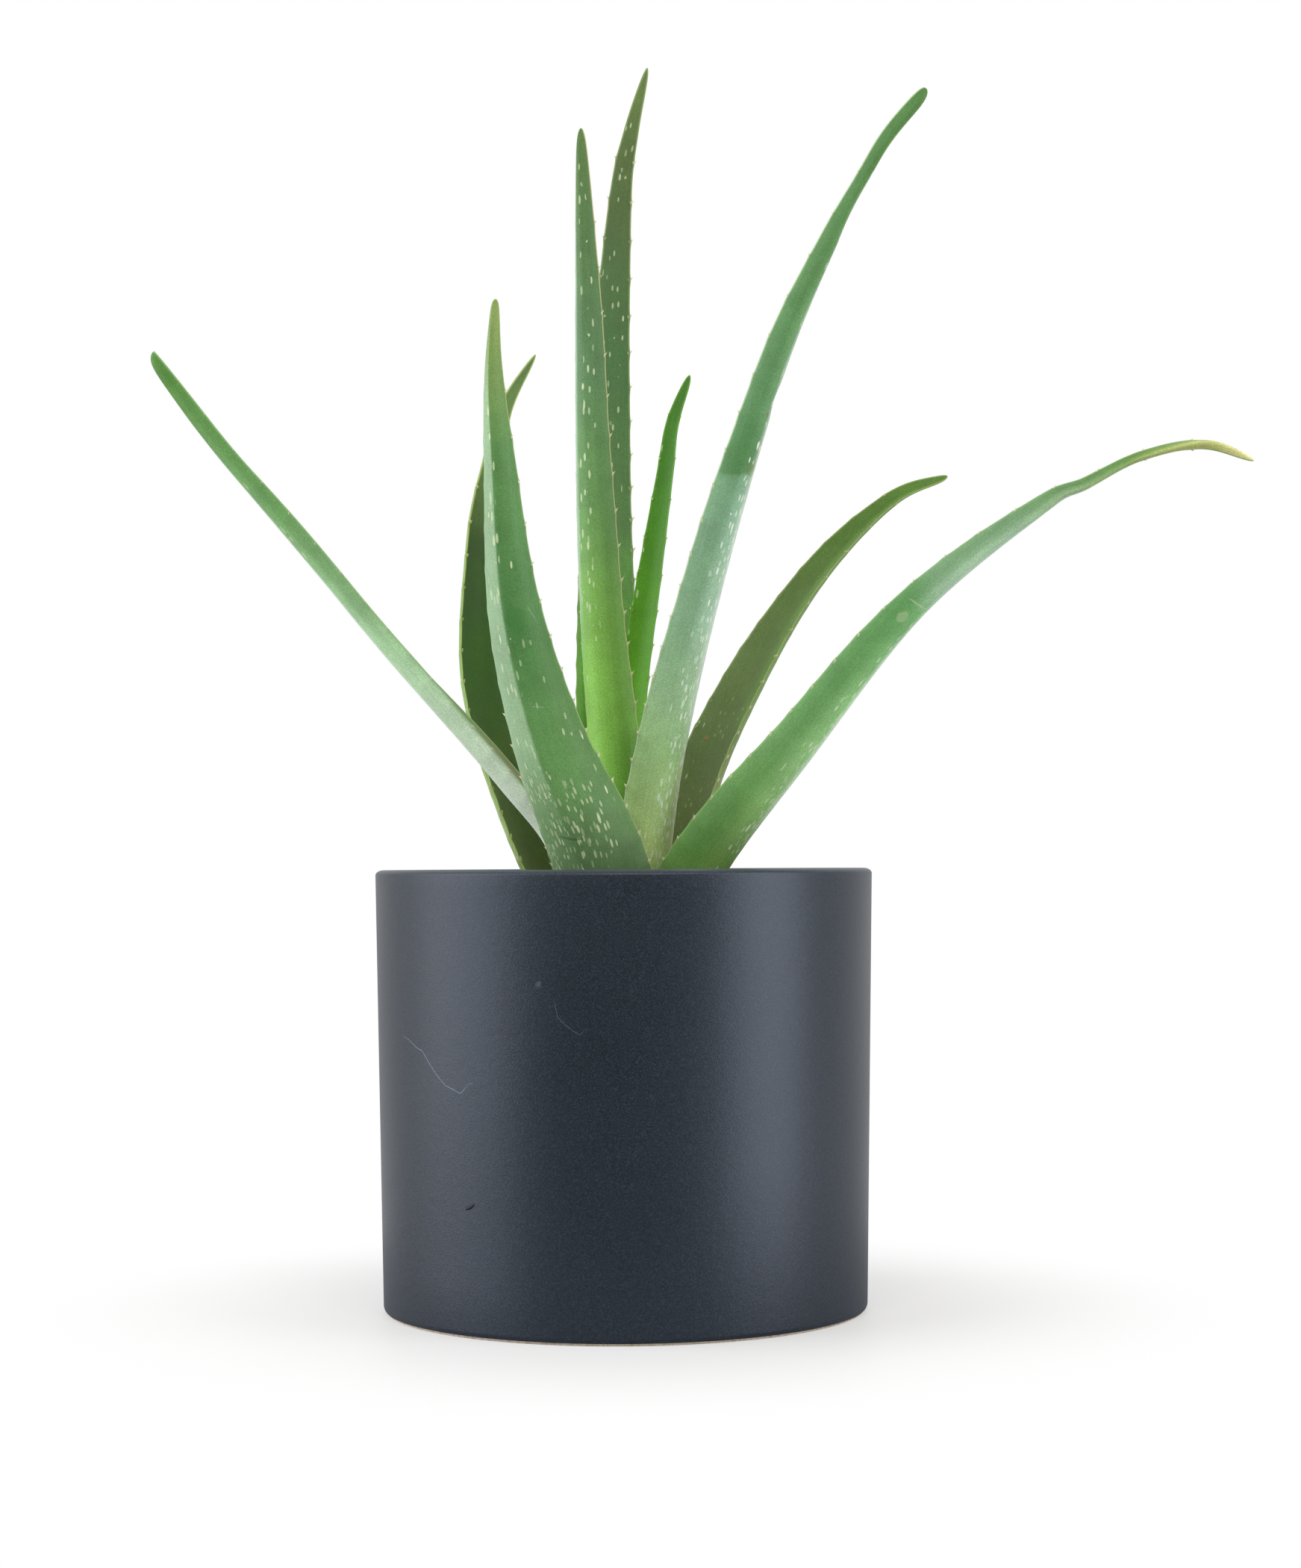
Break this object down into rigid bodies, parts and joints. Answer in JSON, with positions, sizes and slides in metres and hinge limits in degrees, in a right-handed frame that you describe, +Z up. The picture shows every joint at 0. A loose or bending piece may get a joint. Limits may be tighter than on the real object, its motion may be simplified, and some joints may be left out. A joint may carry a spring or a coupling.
{
  "type": "potted aloe vera plant",
  "caption": "Young aloe with long tapering toothed leaves growing from a short crown in a straight-sided dark ceramic pot.",
  "frame": {"origin": "centre of the pot's flat underside, which rests on the surface", "axes": "+Z up along the pot's axis, +X to the right and +Y away from the viewer, seen from the plant's front"},
  "size_m": [0.3206, 0.1569, 0.394],
  "materials": {
    "pot": "satin",
    "soil": "matte",
    "stem": "matte",
    "leaf_pale": "satin",
    "leaf_green": "satin",
    "leaf_dark": "satin",
    "leaf_bright": "satin"
  },
  "bodies": {
    "root": {"pot": "pot", "potting_soil": "soil", "stem": "stem", "leaf_far_left": "leaf_pale", "leaf_back_left": "leaf_dark", "leaf_front_left": "leaf_green", "leaf_centre_front": "leaf_green", "leaf_centre_back": "leaf_dark", "leaf_young": "leaf_bright", "leaf_right_tall": "leaf_pale", "leaf_right_back": "leaf_dark", "leaf_right_low": "leaf_green"}
  },
  "joints": []
}
